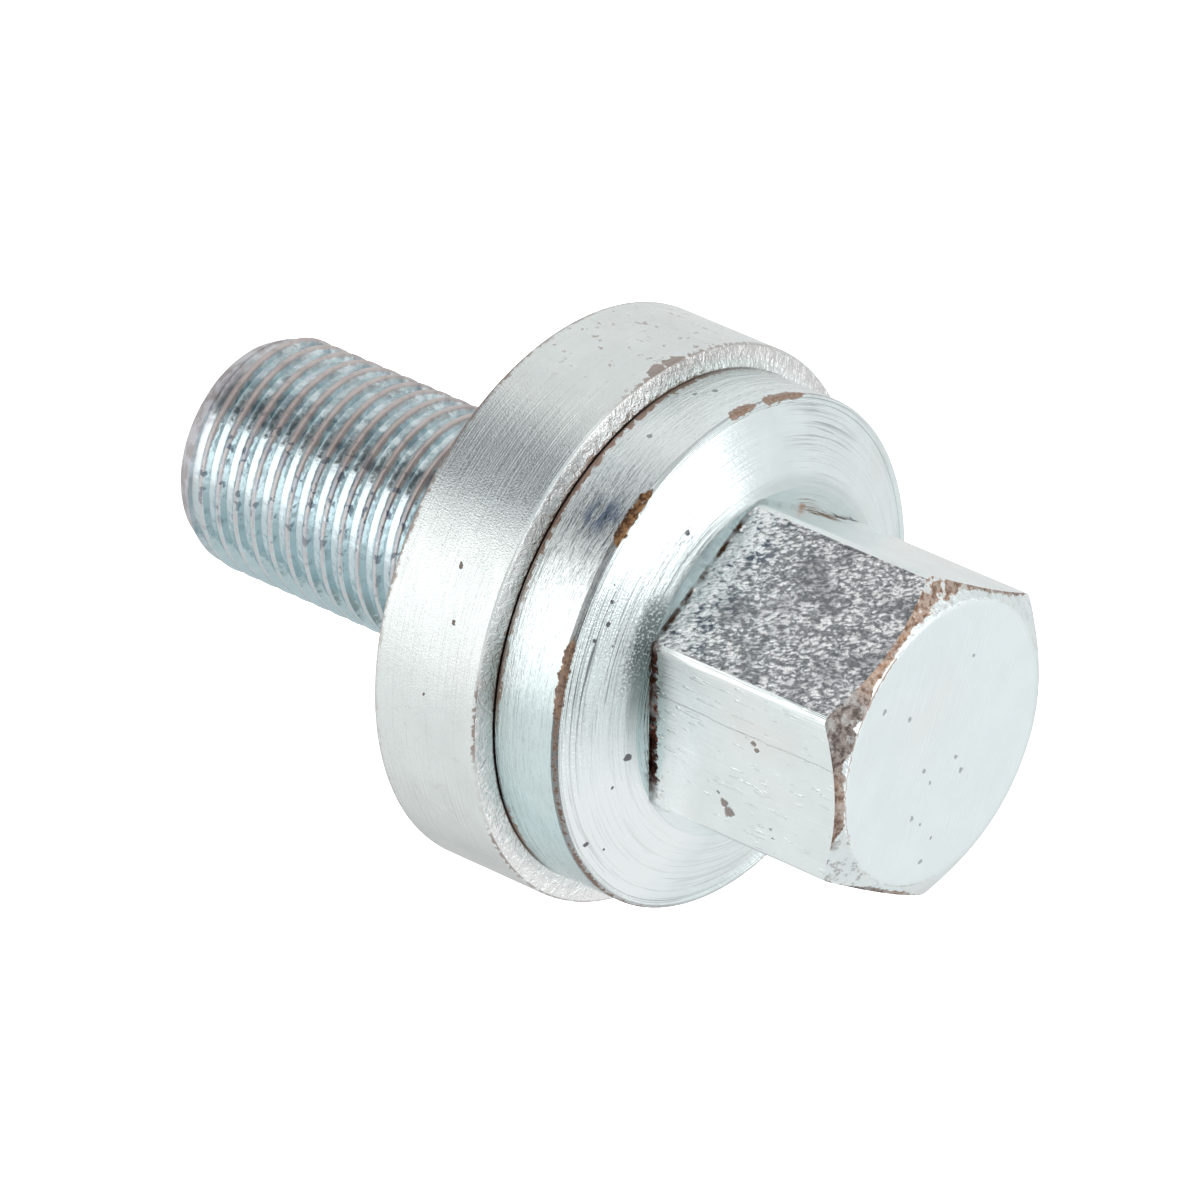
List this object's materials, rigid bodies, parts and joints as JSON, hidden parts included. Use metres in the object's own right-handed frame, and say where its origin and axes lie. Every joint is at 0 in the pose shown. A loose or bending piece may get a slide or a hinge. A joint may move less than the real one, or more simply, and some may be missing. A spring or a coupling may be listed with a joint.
{
  "type": "crankshaft pulley bolt",
  "caption": "Zinc-plated steel bolt with a tall chamfered drive hexagon, a coned flange on a thick wider collar, and a short stout shank with a fine thread and a chamfered flat end.",
  "frame": {"origin": "centre of the flat end of the shank, on the surface that the bolt stands on", "axes": "+Z along the bolt's axis, from the end of the thread to the front face of the hexagon; +X through a corner of the hexagon"},
  "size_m": [0.0379, 0.0378, 0.0581],
  "materials": {
    "zinc_plated_steel": "bright bluish zinc plating, turned and satin in places, with worn brown edges, fine pits and rust in the corners"
  },
  "bodies": {
    "root": {"bolt": "zinc_plated_steel"}
  },
  "joints": []
}
